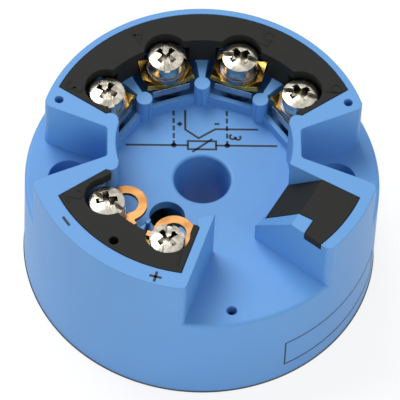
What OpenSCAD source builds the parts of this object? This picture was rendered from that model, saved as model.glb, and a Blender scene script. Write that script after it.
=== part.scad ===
// Head-mount temperature transmitter: a round moulded housing with six screw
// terminals, two black terminal covers and a pull-off cap over the interface.
// The origin is the middle of the underside and +Z points up. The supply
// terminals 1 and 2 are at the front (-Y), the sensor terminals 3 to 6 behind.

/* [Housing] */
// Outer diameter of the housing
body_d = 44; // [43:0.5:46]
// Height over everything, resin base included
body_h = 22.5; // [22:0.25:24]
// Height of the open floor between the terminals
floor_z = 14.7; // [14.2:0.1:15]
// Set-back of the sensor block from the edge of the base
sensor_inset = 1.5; // [1:0.1:2]
// Radius of the open middle between the two bands
bowl_r = 10.9; // [10.6:0.1:11]
// Wall of the outer shell
shell_wall = 1.5; // [1.2:0.1:1.8]
// Thickness of the floor over the board space
floor_wall = 1.4; // [1.2:0.1:2]
// Width of the band between a side pocket and the middle
band_wall = 1; // [0.8:0.1:1.2]
// Small rounded edge of the base
base_edge = 0.4; // [0.2:0.1:0.6]
// Rounding of the upright corners of the blocks
block_corner = 0.9; // [0.6:0.1:1.1]

/* [Mounting] */
// Bore in the middle that the sensor wires pass through
centre_bore_d = 7; // [6:0.25:7.5]
// Rounded mouth of the middle bore
centre_mouth = 0.4; // [0.2:0.1:0.5]
// Wall of the tubes round the three bores
tube_wall = 1.2; // [1:0.1:1.4]
// Distance between the two fixing holes
fixing_pitch = 33; // [32.5:0.25:33.5]
// Diameter of the two fixing holes
fixing_d = 5.2; // [4.6:0.1:5.4]

/* [Side pockets] */
// Half the width of a pocket at its inner end
pocket_half = 2.35; // [2.1:0.05:2.5]
// Rounding of the inner corners of a pocket
pocket_corner = 0.6; // [0.4:0.1:0.9]
// Angle by which each pocket wall spreads outwards
pocket_flare = 23; // [20:0.5:25]

/* [Terminals] */
// Radius of the circle on which the screws stand
terminal_r = 14.5; // [14.3:0.1:14.7]
// Angle between neighbouring screws
terminal_step = 37; // [36:0.5:38]
// Height of the top of the contact plates
contact_z = 18; // [17.6:0.1:18.2]
// Thickness of a contact plate
contact_t = 1.2; // [1:0.1:1.4]
// Width of a contact plate
contact_w = 4.9; // [4.5:0.1:5.1]
// Distance from the centre to the front of a contact plate
contact_front = 12.15; // [12:0.05:12.3]
// Length of a contact plate outwards
contact_len = 5; // [4.6:0.1:5.4]
// Thread of the terminal screws
screw_thread_d = 2.5; // [2:0.1:2.6]
// Diameter of the screw heads
head_d = 4.4; // [4.2:0.1:4.6]
// Height of the screw heads
head_h = 2.4; // [2:0.1:2.5]
// Height of the domed top of a head
head_dome = 0.45; // [0.3:0.05:0.6]
// Width of the slot in a head
slot_w = 0.75; // [0.6:0.05:0.9]
// Width of a clamp washer across the terminal
clamp_w = 6.4; // [6:0.1:6.5]
// Thickness of a clamp washer
clamp_t = 0.65; // [0.5:0.05:0.7]
// Length of the bent corners of a clamp washer
clamp_corner = 1.6; // [1.2:0.1:1.8]
// Angle of the bent corners
clamp_bend = 20; // [10:1:24]
// Outer diameter of the spring washers
spring_d = 4.8; // [4.6:0.1:5]
// Thickness of the spring washers
spring_t = 0.75; // [0.6:0.05:0.85]
// Gap of the split in a spring washer
spring_split = 0.35; // [0.2:0.05:0.5]

// Drop of the supply terminals below the sensor terminals
supply_drop = 0.6; // [0:0.1:0.8]

/* [Ribs and ledges] */
// Height of the ribs between the terminals
rib_z = 18.4; // [18.3:0.1:18.7]
// Radius of the rounded nose of a rib
rib_nose = 1; // [0.8:0.05:1.1]
// Distance of the noses from the centre
rib_nose_at = 12; // [11.8:0.1:12.2]
// Half the width of a bay behind its mouth
bay_mouth_half = 3.72; // [3.6:0.02:3.8]
// Half the width of a bay at its back
bay_back_half = 4.15; // [4:0.05:4.3]
// Half the width of a bay beside an end wall
bay_end_half = 3.4; // [3.35:0.05:3.5]
// Height of the ledge in front of a contact plate
ledge_z = 16.1; // [15.8:0.1:16.4]
// Distance of the face of the ledge from the centre
ledge_at = 11.25; // [11.1:0.05:11.35]
// Thickness of the ledge
ledge_t = 0.65; // [0.5:0.05:0.7]

/* [Terminal covers] */
// Outer radius of the two terminal covers
cover_r = 19.6; // [19.3:0.1:19.8]
// Inner radius of the sensor cover between the screws
sensor_cover_in = 15.6; // [15.3:0.1:15.9]
// Inner radius of the supply cover between the screws
supply_cover_in = 15.1; // [14.9:0.1:15.4]
// Radius of the wells round the screws
well_r = 2.75; // [2.6:0.05:2.9]
// Thickness of the covers over the clamps
cover_t = 1.4; // [1.2:0.05:1.4]
// Width of the arms at the ends of a cover
arm_w = 0.75; // [0.6:0.05:0.9]
// Clearance round the covers and the cap
fit_gap = 0.1; // [0.06:0.02:0.14]
// Diameter of the small hole in the supply cover
cover_hole_d = 1.2; // [0.8:0.1:1.4]

/* [Test lugs] */
// Outer diameter of the brass ring
lug_d = 5.2; // [4.8:0.1:5.3]
// Inner diameter of the brass ring
lug_hole_d = 3; // [2.6:0.1:3.2]
// Thickness of the brass strip
lug_t = 0.5; // [0.4:0.05:0.6]
// Distance of the ring from the screw, towards the centre
lug_reach = 2.95; // [2.8:0.05:3]

/* [Interface] */
// Direction of the interface block, from +X towards the back
port_angle = -30; // [-31:0.5:-29]
// Distance of the low edge of the cap from the centre
cap_front = 10.6; // [10.4:0.1:10.8]
// Height of the low edge of the cap
cap_low_z = 18.1; // [17.9:0.1:18.4]
// Distance of the crease at the top of the slope
cap_crease = 15.2; // [15:0.1:15.6]
// Side of the cap towards the pocket
cap_back_v = 2.4; // [2.2:0.1:2.5]
// Side of the cap towards the front gap
cap_front_v = -3.35; // [-3.5:0.05:-3.2]
// Thickness of the cap
cap_t = 1.1; // [0.9:0.05:1.2]
// Length of the housing tab that keys the cap
tab_len = 2; // [1.6:0.1:2.4]
// Number of contacts of the interface
port_pins = 4; // [3:1:4]

/* [Board] */
// Thickness of the circuit board
board_t = 1.6; // [1.2:0.1:2]
// Height of the underside of the circuit board
board_z = 7; // [6:0.25:8]
// Depth of the resin that closes the underside
resin_h = 3.2; // [2:0.1:4]
// Height of the resin lip that shows below the rim
resin_lip_h = 0.3; // [0.2:0.05:0.5]

/* [Hidden] */
$fn = 96;

// Overrun of every cut beyond the face that it opens
over = 0.2;
body_r = body_d / 2;
sensor_r = body_r - sensor_inset;
inner_r = body_r - shell_wall;
pocket_x = bowl_r + band_wall;
half_step = terminal_step / 2;
end_angle = 2 * terminal_step;

// Turn of each terminal from +Y, terminals 1 to 6 in order
terminal_turns = [180 - half_step, 180 - half_step - terminal_step,
    half_step + terminal_step, half_step, -half_step, -half_step - terminal_step];
// Turn of each screw's slot, as the photograph shows them
slot_turns = [100, 20, 50, 75, 5, 40];

// Stack of a terminal from the contact plate up; the supply terminals 1 and 2
// stand a little lower and carry a test lug
clamp_gap = 0.15;
function contact_top(i) = contact_z - (i < 2 ? supply_drop : 0);
function clamp_z(i) = contact_top(i) + clamp_gap;
function spring_z(i) = clamp_z(i) + clamp_t + (i < 2 ? lug_t : 0);
function head_z(i) = spring_z(i) + spring_t;
screw_r = screw_thread_d / 2;
thread_gap = 0.06;
washer_gap = 0.15;
collar_wall = 1;
collar_r = screw_r + collar_wall;
bend_root = 0.1;
corner_steps = 8;
slot_depth = 0.8;
cross_depth = 1.3;
cross_len = 2.7;
lug_tail = 1.6;
lug_foot = 0.8;
bay_step = 0.3;
bay_floor_z = floor_z + bay_step;
cover_seat = 1.7;
bay_back = cover_r - cover_seat;
shank_foot = 0.4;
shank_z = bay_floor_z + shank_foot;
pin_r = 0.45;
pin_gap = 0.1;
pin_at = contact_front + contact_len - 2 * pin_r;
pin_below_board = 0.8;
clamp_set_back = 0.05;
clamp_front = contact_front + clamp_set_back;
clamp_len = 2 * (terminal_r - clamp_front);
relief_half = clamp_w / 2 + 2 * fit_gap;

// Board space and what stands in it
ceiling_z = floor_z - floor_wall;
board_top = board_z + board_t;
board_seat = 1.2;
board_gap = 0.3;
board_r = inner_r - board_gap;
centre_tube_r = centre_bore_d / 2 + tube_wall;
fixing_tube_r = fixing_d / 2 + tube_wall;
resin_gap = 0.05;
transformer_at = [0, -11];
transformer_size = [7.5, 5.5, 4.2];
core_w = 2.5;
winding_h = 3.4;
processor_at = [7.5, 8.5];
processor_size = [6, 6, 1.2];
optocoupler_at = [-8, 8.5];
optocoupler_size = [6.5, 4.6, 2];
capacitors_at = [[-11, -4.5], [-11, 3.2]];
capacitor_d = 4;
capacitor_h = 4.2;
resistor_side = 2;
resistor_pitch = 1.9;
resistors_y = 13.2;
resistor_size = [1.6, 3.2, 0.6];

// Small holes: vents in the sensor block, filling hole and sight hole
vent_r = 0.55;
vent_x = 17.85;
vent_y = 6.25;
vent_depth = 3;
fill_r = 2.2;
fill_x = -4.4;
fill_y = -5.7;
sight_r = 0.65;
sight_x = 3.4;
sight_y = -19.6;
sight_depth = 3;

// Interface block in its own frame: u outwards, v towards the back
port_wall_in = [10.1, -4.55];
port_wall_turn = -9.1;
cap_beyond = 0.9;
cap_r = cover_r + cap_beyond;
cap_rise = (body_h - cap_low_z) / (cap_crease - cap_front);
cap_slope = atan(cap_rise);
cap_wall = 0.9;
tab_overlap = 0.1;
tab_from = cap_crease - tab_overlap;
tab_to = tab_from + tab_len;
well_u = 13.2;
well_len = 5.6;
well_w = 3.6;
well_v = (cap_back_v + cap_front_v) / 2;
socket_gap = 0.15;
socket_wall = 0.7;
socket_drop = 0.5;
socket_z = cap_low_z - socket_drop;
socket_depth = 2.5;
contact_pin_r = 0.3;
contact_pitch = (well_len - 2 * socket_gap - 2 * socket_wall) / port_pins;
cap_inner_low = cap_front + cap_t / sin(cap_slope);
cap_inner_high = cap_inner_low + (body_h - cap_t - cap_low_z) / cap_rise;
function port_pin_u(k) = well_u + socket_gap + socket_wall + (k + 0.5) * contact_pitch;
function lip_v(u) = port_wall_in.y + tan(port_wall_turn) * (u - port_wall_in.x);

supply_edge_s = 4.57;
gap_inset = 3;
cover_hole_at = 18.5;
blue = "#5f9ad8";
black = "#2d2e2d";
nickel = "#c9c7bf";
gold = "#c8993f";
brass = "#b5884d";
steel = "#4c4f55";
tin = "#a9b3c2";
green = "#2f6b45";

// Unit vector at an angle
function unit(a) = [cos(a), sin(a)];

// Centre of the rounding where a straight wall meets an outer radius
function corner_centre(r, p, a, side, rc) =
    let (n = side * unit(a + 90), q = p + rc * n, b = q * unit(a),
         c = q * q - (r - rc) * (r - rc))
    q + (-b + sqrt(b * b - c)) * unit(a);

// What is cut off an upright corner between a wall and an outer radius.
// The wall starts at p and runs at angle a; the block is on its left (1) or right (-1).
module corner_cut(r, p, a, side, rc) {
    n = side * unit(a + 90);
    c = corner_centre(r, p, a, side, rc);
    from = atan2(-n.y, -n.x);
    turn = (atan2(c.y, c.x) - from + 540) % 360 - 180;
    arc = [for (k = [1:corner_steps - 1]) c + rc * unit(from + turn * k / corner_steps)];
    polygon(concat([c - (rc + over) * n], arc, [c * (r + over) / (r - rc),
        c + (rc + over) * (c / norm(c) + unit(a)), c - (rc + over) * n + 2 * rc * unit(a)]));
}

// A child turned to one terminal, with +Y pointing outwards
module at_terminal(i) {
    rotate(terminal_turns[i]) children();
}

// Plan of a side pocket on the +X side
module pocket_plan() {
    c = [pocket_x + pocket_corner, pocket_half - pocket_corner];
    edge = pocket_corner * unit(90 + pocket_flare);
    reach = body_r * unit(pocket_flare);
    for (side = [1, -1]) scale([1, side]) {
        translate(c) circle(r = pocket_corner);
        polygon([[pocket_x, 0], [pocket_x, c.y], c + edge, c + edge + reach, [body_d, 0]]);
    }
}

// Starting points of the walls beside the pockets and the front gap
pocket_wall_in = [pocket_x + pocket_corner, pocket_half - pocket_corner]
    + pocket_corner * unit(90 + pocket_flare);
gap_right_in = port_wall_in.x * unit(port_angle) + port_wall_in.y * unit(port_angle + 90);
gap_right_turn = port_angle + port_wall_turn;
gap_left_turn = -90 - half_step;
gap_left_in = ledge_at * unit(gap_left_turn) + supply_edge_s * unit(gap_left_turn + 90);

// Plan of the open gap at the front between the two front blocks
module gap_plan() {
    polygon([gap_left_in - gap_inset * unit(gap_left_turn),
        gap_left_in + body_r * unit(gap_left_turn),
        gap_right_in + body_r * unit(gap_right_turn),
        gap_right_in - gap_inset * unit(gap_right_turn)]);
}

// Plan of the three raised blocks, before the bays are cut
module block_plan() {
    difference() {
        union() {
            intersection() {
                circle(r = sensor_r);
                translate([-body_r, 0]) square([body_d, body_r]);
            }
            intersection() {
                circle(r = body_r);
                translate([-body_r, -body_r]) square([body_d, body_r]);
            }
        }
        for (side = [1, -1]) scale([side, 1]) {
            pocket_plan();
            corner_cut(sensor_r, pocket_wall_in, pocket_flare, 1, block_corner);
            corner_cut(body_r, [pocket_wall_in.x, -pocket_wall_in.y],
                -pocket_flare, -1, block_corner);
        }
        gap_plan();
        corner_cut(body_r, gap_right_in, gap_right_turn, 1, block_corner);
        corner_cut(body_r, gap_left_in, gap_left_turn, -1, block_corner);
    }
}

// Noses at both sides of the bays: the end ones stand full height
module end_noses(gap) {
    for (a = [end_angle, -end_angle, 180 - end_angle, 180])
        rotate(a) translate([0, rib_nose_at]) circle(r = rib_nose + gap);
}
module rib_noses() {
    for (a = [terminal_step, 0, -terminal_step])
        rotate(a) translate([0, rib_nose_at]) circle(r = rib_nose);
}

// Plan of one bay from a given distance outwards. A bay beside an end wall
// is straight on that side: end is -1 for its left, 1 for its right, 0 for none.
module bay_plan(from, end) {
    left = end == -1 ? bay_end_half : bay_back_half;
    right = end == 1 ? bay_end_half : bay_back_half;
    left_in = end == -1 ? bay_end_half : bay_mouth_half;
    right_in = end == 1 ? bay_end_half : bay_mouth_half;
    intersection() {
        polygon([[-left_in, from], [-left_in, contact_front], [-left, terminal_r],
            [-left, bay_back], [right, bay_back], [right, terminal_r],
            [right_in, contact_front], [right_in, from]]);
        circle(r = bay_back);
    }
}
bay_ends = [-1, 1, -1, 0, 0, 1];

module bays_plan(from) {
    difference() {
        for (i = [0:5]) at_terminal(i) bay_plan(from, bay_ends[i]);
        end_noses(0);
        rib_noses();
    }
}

// Plan of the open middle: the round bowl and the mouths of the bays
module bowl_plan() {
    difference() {
        union() {
            circle(r = bowl_r);
            for (i = [0:5]) at_terminal(i)
                translate([-bay_end_half, 0]) square([2 * bay_end_half, ledge_at]);
        }
        end_noses(0);
        rib_noses();
    }
}

// Plan between the end walls of a terminal block: left and right name the two
// end terminals, and half is the distance of each wall from its screw.
module cover_span(left, right, half) {
    intersection() {
        at_terminal(left) translate([-half, -body_d]) square(2 * body_d);
        at_terminal(right) translate([half - 2 * body_d, -body_d]) square(2 * body_d);
    }
}

// The recess that takes a terminal cover
module recess_plan(left, right) {
    difference() {
        intersection() {
            circle(r = cover_r + fit_gap);
            cover_span(left, right, bay_end_half);
        }
        end_noses(0);
    }
}

// Plan of a terminal cover: a ring, an arm at each end and the wells
module cover_plan(left, right, inner) {
    half = bay_end_half - fit_gap;
    arm_from = rib_nose_at + fit_gap;
    difference() {
        intersection() {
            circle(r = cover_r);
            cover_span(left, right, half);
        }
        difference() {
            circle(r = inner);
            at_terminal(left) translate([-half, arm_from]) square([arm_w, terminal_r]);
            at_terminal(right) translate([half - arm_w, arm_from])
                square([arm_w, terminal_r]);
        }
        for (i = [0:5]) at_terminal(i) translate([0, terminal_r]) circle(r = well_r);
        end_noses(fit_gap);
    }
}

// A terminal cover, hollow underneath so that the clamps can rise
module cover_body(left, right, inner, screws) {
    difference() {
        translate([0, 0, rib_z]) linear_extrude(body_h - rib_z)
            cover_plan(left, right, inner);
        for (i = screws) at_terminal(i) translate([-relief_half, 0, rib_z - over])
            cube([2 * relief_half, bay_back, body_h - cover_t - rib_z + over]);
    }
}

module sensor_cover() color(black) cover_body(2, 5, sensor_cover_in, [2:5]);

module supply_cover() color(black) difference() {
    cover_body(0, 1, supply_cover_in, [0:1]);
    rotate(180 - terminal_step) translate([0, cover_hole_at, rib_z - over])
        cylinder(d = cover_hole_d, h = body_h);
}

// A child in the frame of the interface block, with +X pointing outwards
module at_port() {
    rotate(port_angle) children();
}

// A side view, drawn in u and z, given its width from v0 to v1
module across(v0, v1) {
    translate([0, v1, 0]) rotate([90, 0, 0]) linear_extrude(v1 - v0) children();
}

// Plan of the lip of the cap beyond the tab, out to the wall of the block
module lip_plan() {
    intersection() {
        circle(r = cap_r);
        polygon([[tab_to + fit_gap, cap_front_v + cap_wall], [tab_to + fit_gap, lip_v(tab_to)],
            [body_r, lip_v(body_r)], [body_r, cap_front_v + cap_wall]]);
    }
}

// Pull-off cap with its sloping front, a shell that stands on its rim
module interface_cap() color(black) at_port() difference() {
    union() {
        intersection() {
            across(cap_front_v, cap_back_v) polygon([[cap_front, cap_low_z],
                [cap_crease, body_h], [body_r, body_h], [body_r, cap_low_z]]);
            cylinder(r = cap_r, h = body_h + over);
        }
        translate([0, 0, body_h - cap_t]) linear_extrude(cap_t) lip_plan();
    }
    across(cap_front_v + cap_wall, cap_back_v - cap_wall) polygon([
        [cap_inner_low, cap_low_z - over], [cap_inner_low, cap_low_z],
        [cap_inner_high, body_h - cap_t], [cap_r - 2 * cap_wall, body_h - cap_t],
        [cap_r - 2 * cap_wall, cap_low_z - over]]);
}

// Everything that is cut from the interface block for its cap and socket
module port_cuts() {
    at_port() {
        intersection() {
            translate([cap_front - rib_nose, cap_front_v - fit_gap, cap_low_z])
                cube([body_r, cap_back_v - cap_front_v + 2 * fit_gap, body_h]);
            cylinder(r = cap_r + fit_gap, h = body_d);
        }
        across(lip_v(body_r) - over, cap_front_v) polygon([
            [cap_front - rib_nose, cap_low_z - cap_rise * rib_nose],
            [tab_from, cap_low_z + cap_rise * (tab_from - cap_front)],
            [tab_from, body_h + over], [cap_front - rib_nose, body_h + over]]);
        translate([0, 0, body_h - cap_t]) linear_extrude(body_h) lip_cut_plan();
        translate([well_u, well_v - well_w / 2, ceiling_z - over])
            cube([well_len, well_w, body_h]);
    }
}

// The lip needs the wall cut through to the outside of the front gap
module lip_cut_plan() {
    intersection() {
        circle(r = cap_r + fit_gap);
        translate([tab_to, -body_r]) square([body_r, body_r + cap_front_v + fit_gap]);
    }
}

// Black socket block under the cap, standing on the board
module interface_socket() color(black) at_port() difference() {
    translate([well_u + socket_gap, well_v - well_w / 2 + socket_gap, board_top])
        cube([well_len - 2 * socket_gap, well_w - 2 * socket_gap, socket_z - board_top]);
    translate([well_u + socket_gap + socket_wall, well_v - well_w / 2 + socket_gap + socket_wall,
        socket_z - socket_depth])
        cube([well_len - 2 * socket_gap - 2 * socket_wall,
            well_w - 2 * socket_gap - 2 * socket_wall, body_h]);
    for (k = [0:port_pins - 1]) translate([port_pin_u(k), well_v, board_top - over])
        cylinder(r = contact_pin_r + pin_gap, h = body_h);
}

// Gold pins of the interface, soldered through the board
module interface_contacts() color(gold) at_port() for (k = [0:port_pins - 1])
    translate([port_pin_u(k), well_v, board_z - pin_below_board])
        cylinder(r = contact_pin_r, h = socket_z - socket_wall - board_z + pin_below_board);

// Tubes round the three bores, without and with a clearance
module tube_plans(gap) {
    circle(r = centre_tube_r + gap);
    for (x = [-1, 1]) translate([x * fixing_pitch / 2, 0]) circle(r = fixing_tube_r + gap);
}

// Ties between the fixing tubes and the outer wall
module tie_plans(gap) {
    for (side = [0, 1]) mirror([side, 0]) translate([fixing_pitch / 2, -fixing_tube_r - gap])
        square([body_r - base_edge - fixing_pitch / 2, 2 * (fixing_tube_r + gap)]);
}

// Board space: wide up to the seat of the board and narrower above it
module board_space() {
    difference() {
        union() {
            translate([0, 0, -over]) cylinder(r = inner_r, h = board_top + over);
            cylinder(r = inner_r - board_seat, h = ceiling_z);
        }
        translate([0, 0, -2 * over]) linear_extrude(body_h) tube_plans(0);
        translate([0, 0, resin_lip_h]) linear_extrude(body_h) tie_plans(0);
    }
}

// The lowest layer of the housing: only the three tubes reach the underside
module rim_relief() {
    translate([0, 0, -over]) linear_extrude(resin_lip_h + over) difference() {
        circle(r = body_d);
        tube_plans(0);
    }
}

// Round base with its small rounded edge
module base_body() {
    rotate_extrude() {
        square([body_r - base_edge, floor_z]);
        square([body_r, floor_z - base_edge]);
        intersection() {
            translate([body_r - base_edge, floor_z - base_edge]) circle(r = base_edge);
            square([body_r, floor_z]);
        }
    }
}

// The blue housing: base, three raised blocks, bays, bores and small holes
module housing() color(blue) difference() {
    union() {
        base_body();
        translate([0, 0, floor_z - base_edge]) linear_extrude(body_h - floor_z + base_edge)
            block_plan();
    }
    translate([0, 0, floor_z]) linear_extrude(body_h) bowl_plan();
    translate([0, 0, ledge_z]) linear_extrude(body_h) bays_plan(ledge_at - over);
    translate([0, 0, bay_floor_z]) linear_extrude(body_h) bays_plan(ledge_at + ledge_t);
    translate([0, 0, rib_z]) linear_extrude(body_h) {
        recess_plan(2, 5);
        recess_plan(0, 1);
    }
    port_cuts();
    board_space();
    rim_relief();
    translate([0, 0, -over]) cylinder(d = centre_bore_d, h = body_h);
    translate([0, 0, floor_z]) rotate_extrude() mouth_profile();
    for (x = [-1, 1]) translate([x * fixing_pitch / 2, 0, -over])
        cylinder(d = fixing_d, h = body_h);
    for (x = [-1, 1]) translate([x * vent_x, vent_y, body_h - vent_depth])
        cylinder(r = vent_r, h = body_h);
    translate([fill_x, fill_y, ceiling_z - over]) cylinder(r = fill_r, h = body_h);
    translate([sight_x, sight_y, floor_z - sight_depth]) cylinder(r = sight_r, h = body_h);
    for (i = [0:5]) at_terminal(i) translate([0, pin_at, ceiling_z - over])
        cylinder(r = pin_r + pin_gap, h = contact_z - ceiling_z);
}

// Half profile of the rounded mouth of the middle bore, below z = 0
module mouth_profile() {
    difference() {
        translate([0, -centre_mouth]) square([centre_bore_d / 2 + centre_mouth,
            centre_mouth + over]);
        translate([centre_bore_d / 2 + centre_mouth, -centre_mouth]) circle(r = centre_mouth);
    }
}

// Black resin that seals the underside, with a thin lip under the rim
module resin_base() color(black) difference() {
    union() {
        cylinder(r = body_r - base_edge, h = resin_lip_h);
        cylinder(r = inner_r - resin_gap, h = resin_h);
    }
    translate([0, 0, -over]) linear_extrude(body_h) tube_plans(resin_gap);
    translate([0, 0, resin_lip_h]) linear_extrude(body_h) tie_plans(resin_gap);
}

// The board hangs from the seat in the housing
module circuit_board() color(green) translate([0, 0, board_z]) linear_extrude(board_t)
    difference() {
        circle(r = board_r);
        tube_plans(board_gap);
        tie_plans(board_gap);
        for (i = [0:5]) at_terminal(i) translate([0, pin_at]) circle(r = pin_r + resin_gap);
        at_port() for (k = [0:port_pins - 1]) translate([port_pin_u(k), well_v])
            circle(r = contact_pin_r + resin_gap);
    }

// A block centred on a place of the board
module on_board(place, size) {
    translate([place.x - size.x / 2, place.y - size.y / 2, board_top]) cube(size);
}

// Isolating transformer: a winding between the two halves of its core
module transformer() color(steel) {
    on_board(transformer_at, [transformer_size.x, core_w, transformer_size.z]);
    on_board(transformer_at, [core_w, transformer_size.y, transformer_size.z]);
    translate([transformer_at.x, transformer_at.y, board_top])
        cylinder(d = transformer_size.y, h = winding_h);
}
module processor() color(black) on_board(processor_at, processor_size);
module optocoupler() color(black) on_board(optocoupler_at, optocoupler_size);
module capacitors() color(nickel) for (place = capacitors_at)
    translate([place.x, place.y, board_top]) cylinder(d = capacitor_d, h = capacitor_h);
module resistors() color(steel) for (k = [-resistor_side:resistor_side])
    on_board([k * resistor_pitch, resistors_y], resistor_size);

// Contact plate with its threaded collar and the pin down to the board
module contact_plate(i) color(tin) at_terminal(i) difference() {
    union() {
        translate([-contact_w / 2, contact_front, contact_top(i) - contact_t])
            cube([contact_w, contact_len, contact_t]);
        translate([0, terminal_r, bay_floor_z])
            cylinder(r = collar_r, h = contact_top(i) - contact_t / 2 - bay_floor_z);
        translate([0, pin_at, board_z - pin_below_board])
            cylinder(r = pin_r, h = contact_top(i) - contact_t / 2 - board_z + pin_below_board);
    }
    translate([0, terminal_r, bay_floor_z - over])
        cylinder(r = screw_r + thread_gap, h = body_h);
}

// Clamp washer: a rectangle whose corners are bent up, flat under a test lug
module clamp_washer(i) color(gold) at_terminal(i) translate([0, terminal_r, clamp_z(i)]) {
    leg = clamp_corner / sqrt(2);
    x = clamp_w / 2;
    y = clamp_len / 2;
    c = clamp_corner;
    difference() {
        linear_extrude(clamp_t) if (i < 2) square([clamp_w, clamp_len], center = true);
            else polygon([[x - c, y], [x, y - c], [x, c - y], [x - c, -y],
                [c - x, -y], [-x, c - y], [-x, y - c], [c - x, y]]);
        translate([0, 0, -over]) cylinder(r = screw_r + washer_gap, h = body_h);
    }
    if (i >= 2) for (sx = [0, 1], sy = [0, 1]) mirror([sx, 0]) mirror([0, sy])
        translate([x - c / 2, y - c / 2]) rotate(45) rotate([0, -clamp_bend, 0])
            linear_extrude(clamp_t) polygon([[-bend_root, -leg], [0, -leg], [leg, 0],
                [0, leg], [-bend_root, leg]]);
}

// Split spring washer
module spring_washer(i) color(steel) at_terminal(i)
    translate([0, terminal_r, spring_z(i)]) difference() {
        cylinder(d = spring_d, h = spring_t);
        translate([0, 0, -over]) cylinder(r = screw_r + washer_gap, h = body_h);
        rotate(slot_turns[i]) translate([0, -spring_split / 2, -over])
            cube([spring_d, spring_split, body_h]);
    }

// Pan-head screw with a cross recess and a slot
module terminal_screw(i) color(nickel) at_terminal(i)
    translate([0, terminal_r, head_z(i)]) rotate(slot_turns[i]) {
        dome_r = (head_d * head_d / 4 + head_dome * head_dome) / (2 * head_dome);
        difference() {
            intersection() {
                cylinder(d = head_d, h = head_h);
                translate([0, 0, head_h - dome_r]) sphere(r = dome_r);
            }
            translate([-head_d, -slot_w / 2, head_h - slot_depth])
                cube([2 * head_d, slot_w, head_h]);
            for (a = [45, -45]) rotate(a) translate([-cross_len / 2, -slot_w / 2,
                head_h - cross_depth]) cube([cross_len, slot_w, head_h]);
        }
        translate([0, 0, shank_z - head_z(i)])
            cylinder(r = screw_r, h = head_z(i) - shank_z + head_h - cross_depth - slot_w);
    }

// Brass test lug: a ring for a clip, forked round the screw under its washer
module test_lug(i) color(brass) at_terminal(i)
    translate([0, terminal_r, clamp_z(i) + clamp_t]) linear_extrude(lug_t) difference() {
        union() {
            translate([0, -lug_reach]) circle(d = lug_d);
            translate([-lug_d / 2, -lug_reach]) square([lug_d, lug_reach + lug_tail]);
            translate([-clamp_w / 2, clamp_front - terminal_r]) square([clamp_w, lug_foot]);
        }
        translate([0, -lug_reach]) circle(d = lug_hole_d);
        translate([-screw_r - washer_gap, -lug_reach])
            square([2 * (screw_r + washer_gap), lug_reach + body_r]);
    }

housing();
resin_base();
sensor_cover();
supply_cover();
interface_cap();
interface_socket();
interface_contacts();
circuit_board();
transformer();
processor();
optocoupler();
capacitors();
resistors();
contact_plate(0);  // contact_plate_1
contact_plate(1);  // contact_plate_2
contact_plate(2);  // contact_plate_3
contact_plate(3);  // contact_plate_4
contact_plate(4);  // contact_plate_5
contact_plate(5);  // contact_plate_6
clamp_washer(0);  // clamp_washer_1
clamp_washer(1);  // clamp_washer_2
clamp_washer(2);  // clamp_washer_3
clamp_washer(3);  // clamp_washer_4
clamp_washer(4);  // clamp_washer_5
clamp_washer(5);  // clamp_washer_6
spring_washer(0);  // spring_washer_1
spring_washer(1);  // spring_washer_2
spring_washer(2);  // spring_washer_3
spring_washer(3);  // spring_washer_4
spring_washer(4);  // spring_washer_5
spring_washer(5);  // spring_washer_6
terminal_screw(0);  // terminal_screw_1
terminal_screw(1);  // terminal_screw_2
terminal_screw(2);  // terminal_screw_3
terminal_screw(3);  // terminal_screw_4
terminal_screw(4);  // terminal_screw_5
terminal_screw(5);  // terminal_screw_6
test_lug(0);  // test_lug_1
test_lug(1);  // test_lug_2
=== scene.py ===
import bpy
import bmesh
import math
from mathutils import Matrix, Vector


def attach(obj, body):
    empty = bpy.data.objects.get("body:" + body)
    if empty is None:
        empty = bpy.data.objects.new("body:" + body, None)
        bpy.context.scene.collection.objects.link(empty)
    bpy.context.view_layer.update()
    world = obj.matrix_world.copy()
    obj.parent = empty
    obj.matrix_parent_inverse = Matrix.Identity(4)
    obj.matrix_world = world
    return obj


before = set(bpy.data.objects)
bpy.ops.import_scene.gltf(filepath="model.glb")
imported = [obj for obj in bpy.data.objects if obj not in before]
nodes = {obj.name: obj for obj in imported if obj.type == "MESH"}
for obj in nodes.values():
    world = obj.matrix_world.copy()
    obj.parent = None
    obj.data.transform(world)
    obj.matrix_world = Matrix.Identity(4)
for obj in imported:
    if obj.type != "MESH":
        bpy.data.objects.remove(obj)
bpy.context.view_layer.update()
collection = bpy.context.scene.collection
mm = 0.001
white = (1, 1, 1, 1)
print("frame loaded:", len(nodes), "nodes")


def hexToLinear(code):
    parts = [int(code[i:i + 2], 16) / 255 for i in (1, 3, 5)]
    return [p / 12.92 if p <= 0.04045 else ((p + 0.055) / 1.055) ** 2.4 for p in parts] + [1.0]


def addNode(tree, kind, values=None, links=None, **settings):
    node = tree.nodes.new(kind)
    for name, value in settings.items():
        setattr(node, name, value)
    for socket, value in (values or {}).items():
        node.inputs[socket].default_value = value
    for socket, source in (links or {}).items():
        tree.links.new(source, node.inputs[socket])
    return node


def newMaterial(name):
    material = bpy.data.materials.new(name)
    material.use_nodes = True
    tree = material.node_tree
    tree.nodes.clear()
    return material, tree


def perMetre(sizeMm):
    return 1 / (sizeMm * mm)


# shared by the finishes: depth of relief, samples, and where the two tints and the painted shade
# in recesses fade
surface = {"reliefMm": 0.02, "edgeSamples": 4, "occlusionSamples": 8, "plateFrom": 0.35,
           "plateTo": 0.65, "paintedShadeFrom": 0.25, "paintedShadeTo": 0.85}


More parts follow.
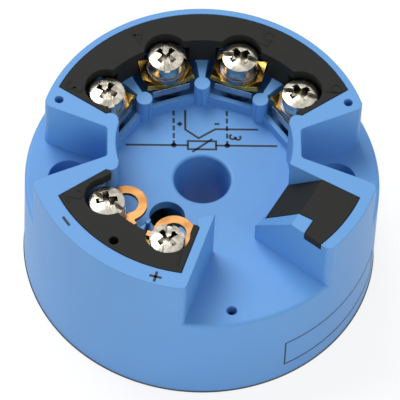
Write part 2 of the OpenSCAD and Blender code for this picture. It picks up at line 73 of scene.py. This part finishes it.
def grainAndEdges(tree, place, look, sizeMm, detail):
    # one grain gives roughness and fine relief, over edges that catch the light
    grain = addNode(tree, "ShaderNodeTexNoise", {"Scale": perMetre(sizeMm), "Detail": detail},
                    {"Vector": place})
    rough = addNode(tree, "ShaderNodeMapRange",
                    {"To Min": look["rough"][0], "To Max": look["rough"][1]},
                    {"Value": grain.outputs["Fac"]})
    edge = addNode(tree, "ShaderNodeBevel", {"Radius": look["edgeMm"] * mm},
                   samples=surface["edgeSamples"])
    bump = addNode(tree, "ShaderNodeBump",
                   {"Strength": look["bump"], "Distance": surface["reliefMm"] * mm},
                   {"Height": grain.outputs["Fac"], "Normal": edge.outputs["Normal"]})
    return rough.outputs["Result"], bump.outputs["Normal"]


def mouldedPlastic(name, look):
    material, tree = newMaterial(name)
    place = addNode(tree, "ShaderNodeTexCoord").outputs["Object"]
    tone = addNode(tree, "ShaderNodeTexNoise", {"Scale": perMetre(look["toneMm"]), "Detail": 2.0},
                   {"Vector": place})
    colour = addNode(tree, "ShaderNodeMix", {"A": hexToLinear(look["colour"]),
                                             "B": hexToLinear(look["shade"])},
                     {"Factor": tone.outputs["Fac"]}, data_type="RGBA")
    rough, normal = grainAndEdges(tree, place, look, look["grainMm"], detail=3.0)
    shader = addNode(tree, "ShaderNodeBsdfPrincipled",
                     {"IOR": look["ior"], "Specular IOR Level": look["specular"]},
                     {"Base Color": colour.outputs["Result"], "Roughness": rough,
                      "Normal": normal})
    addNode(tree, "ShaderNodeOutputMaterial", None, {"Surface": shader.outputs["BSDF"]})
    return material


def platedMetal(name, look):
    material, tree = newMaterial(name)
    place = addNode(tree, "ShaderNodeTexCoord").outputs["Object"]
    tone = addNode(tree, "ShaderNodeTexNoise", {"Scale": perMetre(look["toneMm"]), "Detail": 1.0},
                   {"Vector": place})
    colour = addNode(tree, "ShaderNodeValToRGB", None, {"Fac": tone.outputs["Fac"]})
    ramp = colour.color_ramp
    for at, code in zip((surface["plateFrom"], surface["plateTo"]), look["colours"]):
        element = ramp.elements.new(at)
        element.color = hexToLinear(code)
    ramp.elements.remove(ramp.elements[0])
    ramp.elements.remove(ramp.elements[-1])
    rough, normal = grainAndEdges(tree, place, look, look["wearMm"], detail=4.0)
    # painted shade: the colour darkens towards a dark shade colour in recesses and crevices, where
    # little light reaches
    occlusion = addNode(tree, "ShaderNodeAmbientOcclusion", {"Distance": look["paintedShadeMm"] * mm},
                    samples=surface["occlusionSamples"])
    paintedShade = addNode(tree, "ShaderNodeMapRange",
                    {"From Min": surface["paintedShadeFrom"], "From Max": surface["paintedShadeTo"],
                     "To Min": 1.0, "To Max": 0.0}, {"Value": occlusion.outputs["AO"]})
    shadedColour = addNode(tree, "ShaderNodeMix", {"B": hexToLinear(look["paintedShade"])},
                   {"Factor": paintedShade.outputs["Result"], "A": colour.outputs["Color"]},
                   data_type="RGBA")
    shader = addNode(tree, "ShaderNodeBsdfPrincipled", {"Metallic": 1.0},
                     {"Base Color": shadedColour.outputs["Result"], "Roughness": rough,
                      "Normal": normal})
    addNode(tree, "ShaderNodeOutputMaterial", None, {"Surface": shader.outputs["BSDF"]})
    return material


# the grain of moulded plastic and the wear of metal are drawn coarser than real, so they show
# in each metal finish, the last colour and the last distance in mm give the painted shade that
# platedMetal lays into recesses
finishes = {
    # light blue PBT, moulded in an eroded mould: a faint grain that softens the reflections
    "blue_housing": mouldedPlastic("PBT blue, moulded", {
        "colour": "#649FDC", "shade": "#5E99D7", "toneMm": 9, "grainMm": 0.25,
        "rough": (0.4, 0.5), "edgeMm": 0.18, "bump": 0.12, "ior": 1.5, "specular": 0.4}),
    # black PA66, moulded: matter than the housing, with a warm cast where the light catches it
    "black_moulding": mouldedPlastic("PA66 black, moulded", {
        "colour": "#242523", "shade": "#1E1F1D", "toneMm": 5, "grainMm": 0.2,
        "rough": (0.5, 0.62), "edgeMm": 0.12, "bump": 0.25, "ior": 1.45, "specular": 0.16}),
    # black epoxy, poured: smooth, with slow waves from curing
    "black_resin": mouldedPlastic("Epoxy black, poured", {
        "colour": "#232322", "shade": "#2C2B28", "toneMm": 6, "grainMm": 2.5,
        "rough": (0.25, 0.4), "edgeMm": 0.1, "bump": 0.3, "ior": 1.55, "specular": 0.5}),
    # FR-4 with green solder resist: the weave shows faintly through the lacquer
    "board": mouldedPlastic("FR-4 board, green resist", {
        "colour": "#2A6A45", "shade": "#235B3A", "toneMm": 1.2, "grainMm": 0.4,
        "rough": (0.3, 0.4), "edgeMm": 0.05, "bump": 0.2, "ior": 1.5, "specular": 0.5}),
    # moulded epoxy of the chips: dull, sandy black
    "component_black": mouldedPlastic("Epoxy chip body, moulded", {
        "colour": "#2A2A2B", "shade": "#222223", "toneMm": 1.5, "grainMm": 0.1,
        "rough": (0.55, 0.7), "edgeMm": 0.06, "bump": 0.3, "ior": 1.55, "specular": 0.4}),
    # brass strip, tin plated: a soft grey mirror that takes up the blue around it
    "tinned_contact": platedMetal("Brass, tin plated", {
        "colours": ("#B9BFC6", "#A3AAB4"), "toneMm": 2, "wearMm": 0.3, "rough": (0.16, 0.3),
        "edgeMm": 0.08, "bump": 0.15, "paintedShade": "#3A4150", "paintedShadeMm": 0.8}),
    # bronze pins with a thin gold flash: even yellow, smooth from drawing
    "gold_pin": platedMetal("Bronze, gold flash", {
        "colours": ("#D8A94A", "#C7963A"), "toneMm": 1, "wearMm": 0.15, "rough": (0.18, 0.3),
        "edgeMm": 0.05, "bump": 0.1, "paintedShade": "#5A4020", "paintedShadeMm": 0.5}),
    # ferrite core and capacitor cans: dark grey and dull, with no clear reflection
    "steel_can": platedMetal("Ferrite and tinned steel, dull", {
        "colours": ("#6A6D72", "#585B60"), "toneMm": 2, "wearMm": 0.3, "rough": (0.35, 0.5),
        "edgeMm": 0.06, "bump": 0.2, "paintedShade": "#26282B", "paintedShadeMm": 0.8}),
    # steel, yellow chromated: gold that drifts to copper and straw over a millimetre or two
    "yellow_zinc_steel": platedMetal("Steel, yellow passivated zinc", {
        "colours": ("#D8AC58", "#9E7436"), "toneMm": 1.6, "wearMm": 0.25, "rough": (0.16, 0.3),
        "edgeMm": 0.06, "bump": 0.15, "paintedShade": "#3A2A14", "paintedShadeMm": 1.2}),
    # spring steel, zinc plated: a blue-grey mirror with small scuffs
    "spring_steel": platedMetal("Spring steel, zinc plated", {
        "colours": ("#8F97A3", "#767E8A"), "toneMm": 1, "wearMm": 0.2, "rough": (0.18, 0.34),
        "edgeMm": 0.06, "bump": 0.2, "paintedShade": "#1E222A", "paintedShadeMm": 1.0}),
    # steel screws, bright nickel: near white highlights against deep reflections
    "nickel_screw": platedMetal("Steel, bright nickel", {
        "colours": ("#DAD5C8", "#A9A395"), "toneMm": 0.9, "wearMm": 0.22, "rough": (0.12, 0.28),
        "edgeMm": 0.07, "bump": 0.2, "paintedShade": "#2A2419", "paintedShadeMm": 0.9}),
    # bare brass strip, stamped: brown-gold with a satin surface
    "brass_lug": platedMetal("Brass, stamped", {
        "colours": ("#AD8050", "#94683C"), "toneMm": 1.8, "wearMm": 0.25, "rough": (0.24, 0.38),
        "edgeMm": 0.07, "bump": 0.15, "paintedShade": "#6A4A2A", "paintedShadeMm": 1.0})}
# black pad printing ink: thin and matt, a little greyer in patches
ink = mouldedPlastic("Pad printing ink, black", {
    "colour": "#23262C", "shade": "#343A44", "toneMm": 0.6, "grainMm": 0.1,
    "rough": (0.5, 0.65), "edgeMm": 0.01, "bump": 0.1, "ior": 1.5, "specular": 0.3})
print("materials made:", len(finishes) + 1)

nodeSlots = {
    "housing": "blue_housing", "resin_base": "black_resin", "sensor_cover": "black_moulding",
    "supply_cover": "black_moulding", "interface_cap": "black_moulding",
    "interface_socket": "black_moulding", "interface_contacts": "gold_pin",
    "circuit_board": "board", "transformer": "steel_can", "processor": "component_black",
    "optocoupler": "component_black", "capacitors": "steel_can", "resistors": "component_black"}
numberedSlots = {
    "contact_plate": "tinned_contact", "clamp_washer": "yellow_zinc_steel",
    "spring_washer": "spring_steel", "terminal_screw": "nickel_screw", "test_lug": "brass_lug"}
for nodeName, node in nodes.items():
    slotName = nodeSlots.get(nodeName) or numberedSlots[nodeName[:-2]]
    node.data.materials.clear()
    node.data.materials.append(finishes[slotName])
print("finishes on the CAD nodes")


def finishPiece(name, shape, body, material, smooth=False):
    bmesh.ops.recalc_face_normals(shape, faces=shape.faces)
    for face in shape.faces:
        face.smooth = smooth
    mesh = bpy.data.meshes.new(name)
    shape.to_mesh(mesh)
    shape.free()
    mesh.materials.append(material)
    piece = bpy.data.objects.new(name, mesh)
    collection.objects.link(piece)
    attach(piece, body)


def inkStrip(shape, points, width, low, high, lift):
    # one stroke of print: a strip with mitred joints along points, its ends cut square
    half = width / 2
    sharpestMitre = 0.4    # cosine below which a joint's corner grows no longer
    closed = points[0] == points[-1]
    line = [Vector(p) for p in (points[:-1] if closed else points)]
    rings = []
    for k, here in enumerate(line):
        before = line[k - 1] if closed or k else None
        after = line[(k + 1) % len(line)] if closed or k < len(line) - 1 else None
        ways = [w.normalized() for w in ((here - before) if before else None,
                                         (after - here) if after else None) if w]
        way = sum(ways, Vector((0, 0))).normalized()
        side = Vector((-way.y, way.x))
        out = half / max(side.dot(Vector((-ways[0].y, ways[0].x))), sharpestMitre)
        left, right = here + side * out, here - side * out
        rings.append([shape.verts.new(lift(left, high)), shape.verts.new(lift(right, high)),
                      shape.verts.new(lift(right, low)), shape.verts.new(lift(left, low))])
    count = len(rings)
    for k in range(count if closed else count - 1):
        a, b = rings[k], rings[(k + 1) % count]
        for j in range(4):
            shape.faces.new([a[j], a[(j + 1) % 4], b[(j + 1) % 4], b[j]])
    if not closed:
        shape.faces.new(rings[0])
        shape.faces.new(rings[-1][::-1])


def arcPoints(cx, cy, r, start, end, steps=10):
    turns = [math.radians(start + (end - start) * k / steps) for k in range(steps + 1)]
    return [(cx + r * math.cos(t), cy + r * math.sin(t)) for t in turns]


def placed(strokes, at, turn, size):
    c, s = math.cos(math.radians(turn)), math.sin(math.radians(turn))
    return [[(at[0] + size * (c * x - s * y), at[1] + size * (s * x + c * y))
             for x, y in stroke] for stroke in strokes]


def flatPrint(name, body, strokes, look, material):
    shape = bmesh.new()
    for stroke in strokes:
        inkStrip(shape, stroke, look["width"], look["z"] - look["sunk"],
                 look["z"] + look["proud"], lambda p, h: (p.x * mm, p.y * mm, h * mm))
    finishPiece(name, shape, body, material)


def dashes(x, top, bottom, dash, gap):
    strokes = []
    y = top
    while y > bottom:
        strokes.append([(x, y), (x, max(y - dash, bottom))])
        y -= dash + gap
    return strokes


# strokes of the terminal numbers and signs, one unit high with the foot at y = -0.5
figures = {
    "1": [[(-0.16, 0.3), (0.04, 0.5), (0.04, -0.5)]],
    "2": [arcPoints(0, 0.22, 0.28, 165, -30) + [(-0.28, -0.5), (0.3, -0.5)]],
    "3": [arcPoints(0, 0.25, 0.25, 150, -80) + arcPoints(0, -0.23, 0.27, 80, -150)],
    "4": [[(0.14, -0.5), (0.14, 0.5), (-0.3, -0.2), (0.3, -0.2)]],
    "5": [[(0.25, 0.5), (-0.2, 0.5), (-0.24, 0.06)] + arcPoints(0, -0.18, 0.3, 130, -150)],
    "6": [[(0.18, 0.5), (-0.16, 0.1)] + arcPoints(0, -0.2, 0.29, 150, -195, 16)],
    "plus": [[(-0.4, 0), (0.4, 0)], [(0, 0.4), (0, -0.4)]],
    "minus": [[(-0.4, 0), (0.4, 0)]]}

# wiring symbol on the floor, in mm: a thermocouple over a resistance sensor with its third wire
floorPrint = {"z": 14.7, "width": 0.28, "sunk": 0.05, "proud": 0.015, "lineY": 5.1,
              "leftX": -9.5, "rightX": 9.4, "tapX": (-3.5, 3.15), "tapTop": 10.4,
              "dash": 0.75, "dashGap": 0.4, "boxHalf": 1.75, "boxLow": 4.5, "boxHigh": 5.75,
              "dot": 0.22, "dotSteps": 12, "slash": [(-1.2, 4.1), (1.3, 6.1)],
              "thermocouple": [(-2.05, 10.5), (-2.05, 7.5), (-0.4, 6.2), (1.7, 7.6), (7.0, 7.6)],
              # place, turn in degrees and height of each sign
              "signs": {"plus": ((-2.75, 8.35), 0, 0.85), "minus": ((1.9, 8.4), 0, 0.8),
                        "3": ((4.15, 6.4), -100, 1.35)}}
f = floorPrint
symbol = [[(f["leftX"], f["lineY"]), (-f["boxHalf"], f["lineY"])],
          [(f["boxHalf"], f["lineY"]), (f["rightX"], f["lineY"])],
          [(-f["boxHalf"], f["boxLow"]), (f["boxHalf"], f["boxLow"]), (f["boxHalf"], f["boxHigh"]),
           (-f["boxHalf"], f["boxHigh"]), (-f["boxHalf"], f["boxLow"])],
          f["slash"], f["thermocouple"]]
for x in f["tapX"]:
    symbol += dashes(x, f["tapTop"], f["lineY"], f["dash"], f["dashGap"])
    dot = arcPoints(x, f["lineY"], f["dot"], 0, 360, f["dotSteps"])
    symbol.append(dot[:-1] + dot[:1])
for sign, (at, turn, size) in f["signs"].items():
    symbol += placed(figures[sign], at, turn, size)
flatPrint("floorPrint", "housing", symbol, f, ink)

# plus and minus printed on the rim beside the supply terminals
rimPrint = {"z": 22.5, "width": 0.34, "sunk": 0.05, "proud": 0.015, "size": 1.9,
            "signs": {"plus": ((-6.1, -20.0), -15), "minus": ((-16.9, -12.0), -58)}}
rimStrokes = []
for sign, (at, turn) in rimPrint["signs"].items():
    rimStrokes += placed(figures[sign], at, turn, rimPrint["size"])
flatPrint("rimPrint", "housing", rimStrokes, rimPrint, ink)

# terminal numbers, tops towards the centre, moulded into the covers, which the housing holds
coverNumbers = {"z": 22.5, "width": 0.26, "sunk": 0.1, "proud": 0.06, "size": 2.1,
                # turn from +Y in degrees and distance from the centre in mm
                "places": {"1": (169.2, 17.6), "2": (117.2, 17.9), "3": (62.6, 18.0),
                           "4": (26.7, 17.9), "5": (-26.7, 17.9), "6": (-63.0, 18.0)}}
for figure, (turn, r) in coverNumbers["places"].items():
    t = math.radians(turn)
    strokes = placed(figures[figure], (-r * math.sin(t), r * math.cos(t)), turn + 180,
                     coverNumbers["size"])
    flatPrint("coverNumber" + figure, "housing", strokes, coverNumbers,
              finishes["black_moulding"])

# blank framed field on the outer wall, for a handwritten note: degrees from +X, sizes in mm
wallField = {"radius": 22.0, "from": -62, "to": -14, "low": 2.7, "high": 7.3, "width": 0.2,
             "sunk": 0.05, "proud": 0.015, "steps": 40}
w = wallField
sweep = [math.radians(w["from"] + (w["to"] - w["from"]) * k / w["steps"]) * w["radius"]
         for k in range(w["steps"] + 1)]
outline = [(s, w["low"]) for s in sweep] + [(s, w["high"]) for s in sweep[::-1]]
shape = bmesh.new()
inkStrip(shape, outline + outline[:1], w["width"], w["radius"] - w["sunk"],
         w["radius"] + w["proud"],
         lambda p, r: (r * math.cos(p.x / w["radius"]) * mm,
                       r * math.sin(p.x / w["radius"]) * mm, p.y * mm))
finishPiece("wallField", shape, "housing", ink)
print("print and numbers done")

# a thin dark bead in the black resin under the rim, which darkens the lower edge: radius and
# height round its section
resinBead = {"profile": [(21.4, 0.02), (21.9, 0.0), (22.06, 0.08), (22.1, 0.18), (22.06, 0.28),
                         (21.4, 0.3)], "around": 192}
shape = bmesh.new()
rings = []
for k in range(resinBead["around"]):
    t = 2 * math.pi * k / resinBead["around"]
    rings.append([shape.verts.new((r * math.cos(t) * mm, r * math.sin(t) * mm, z * mm))
                  for r, z in resinBead["profile"]])
for k, ring in enumerate(rings):
    after = rings[(k + 1) % len(rings)]
    for j in range(len(ring)):
        following = (j + 1) % len(ring)
        shape.faces.new([ring[j], after[j], after[following], ring[following]])
finishPiece("resinBead", shape, "housing", finishes["black_resin"], smooth=True)
print("resin bead done")


def seenBy(tree, *kinds):
    # 1 for these kinds of ray, 0 for the light that falls on the object
    rays = addNode(tree, "ShaderNodeLightPath")
    seen = rays.outputs[kinds[0]]
    for kind in kinds[1:]:
        either = addNode(tree, "ShaderNodeMath", None, {0: seen, 1: rays.outputs[kind]},
                         operation="MAXIMUM")
        seen = either.outputs[0]
    return seen


# floor: plain paper for the light, and for the eye a glow near white that keeps the shadow
stageLook = {"half": 1.2, "paper": "#F4F4F4", "shadow": "#808080", "glow": 0.82}
shape = bmesh.new()
bmesh.ops.create_grid(shape, x_segments=1, y_segments=1, size=stageLook["half"])
mesh = bpy.data.meshes.new("floor")
shape.to_mesh(mesh)
shape.free()
floor = bpy.data.objects.new("floor", mesh)
collection.objects.link(floor)
material, tree = newMaterial("Paper sweep, white")
paper = addNode(tree, "ShaderNodeBsdfDiffuse", {"Color": hexToLinear(stageLook["paper"])})
shadow = addNode(tree, "ShaderNodeBsdfDiffuse", {"Color": hexToLinear(stageLook["shadow"])})
glow = addNode(tree, "ShaderNodeEmission", {"Color": white, "Strength": stageLook["glow"]})
bright = addNode(tree, "ShaderNodeAddShader", None, {0: shadow.outputs["BSDF"],
                                                     1: glow.outputs["Emission"]})
seen = seenBy(tree, "Is Camera Ray", "Is Glossy Ray", "Is Transmission Ray")
mixed = addNode(tree, "ShaderNodeMixShader", None, {0: seen, 1: paper.outputs["BSDF"],
                                                    2: bright.outputs["Shader"]})
addNode(tree, "ShaderNodeOutputMaterial", None, {"Surface": mixed.outputs["Shader"]})
mesh.materials.append(material)

worldLook = {"soft": 0.3, "seen": 1.0}    # strength as light, and as the eye sees it
world = bpy.data.worlds.new("studio")
bpy.context.scene.world = world
world.use_nodes = True
tree = world.node_tree
tree.nodes.clear()
seen = seenBy(tree, "Is Camera Ray", "Is Glossy Ray")
soft = addNode(tree, "ShaderNodeBackground", {"Color": white, "Strength": worldLook["soft"]})
pale = addNode(tree, "ShaderNodeBackground", {"Color": white, "Strength": worldLook["seen"]})
mixed = addNode(tree, "ShaderNodeMixShader", None, {0: seen, 1: soft.outputs["Background"],
                                                    2: pale.outputs["Background"]})
addNode(tree, "ShaderNodeOutputWorld", None, {"Surface": mixed.outputs["Shader"]})

lamps = {   # place in metres, side of the softbox, power in watts
    "keyBox": ((-0.25, 0.35, 0.7), 0.45, 4.6),
    "fillBox": ((0.55, -0.5, 0.55), 0.6, 1.8),
    "frontBox": ((-0.3, -0.75, 0.25), 0.5, 1.8)}
lampAim = Vector((0, 0, 0.01))
for name, (place, side, power) in lamps.items():
    data = bpy.data.lights.new(name, "AREA")
    data.size = side
    data.energy = power
    lamp = bpy.data.objects.new(name, data)
    collection.objects.link(lamp)
    lamp.location = place
    lamp.rotation_euler = (lampAim - Vector(place)).to_track_quat("-Z", "Y").to_euler()

# the photograph's viewing angle: degrees, metres, and pixels of its 400 pixel frame
shot = {"azimuth": -3.125, "elevation": 54.894, "roll": -3.136, "distance": 0.6786,
        "aimZ": 0.011, "focalPixels": 5452.5, "centre": (201.435, 196.042), "frame": 400,
        "sensor": 36}
a, e = math.radians(shot["azimuth"]), math.radians(shot["elevation"])
back = Vector((math.sin(a) * math.cos(e), -math.cos(a) * math.cos(e), math.sin(e)))
right = Vector((math.cos(a), math.sin(a), 0))
data = bpy.data.cameras.new("camera")
data.sensor_width = shot["sensor"]
data.lens = shot["focalPixels"] / shot["frame"] * shot["sensor"]
data.shift_x = -(shot["centre"][0] - shot["frame"] / 2) / shot["frame"]
data.shift_y = (shot["centre"][1] - shot["frame"] / 2) / shot["frame"]
camera = bpy.data.objects.new("camera", data)
collection.objects.link(camera)
camera.matrix_world = (
    Matrix.Translation(Vector((0, 0, shot["aimZ"])) + back * shot["distance"])
    @ Matrix((right, back.cross(right), back)).transposed().to_4x4()
    @ Matrix.Rotation(-math.radians(shot["roll"]), 4, "Z"))
bpy.context.scene.camera = camera
bpy.context.scene.view_settings.view_transform = "Standard"
print("stage, light and camera set")
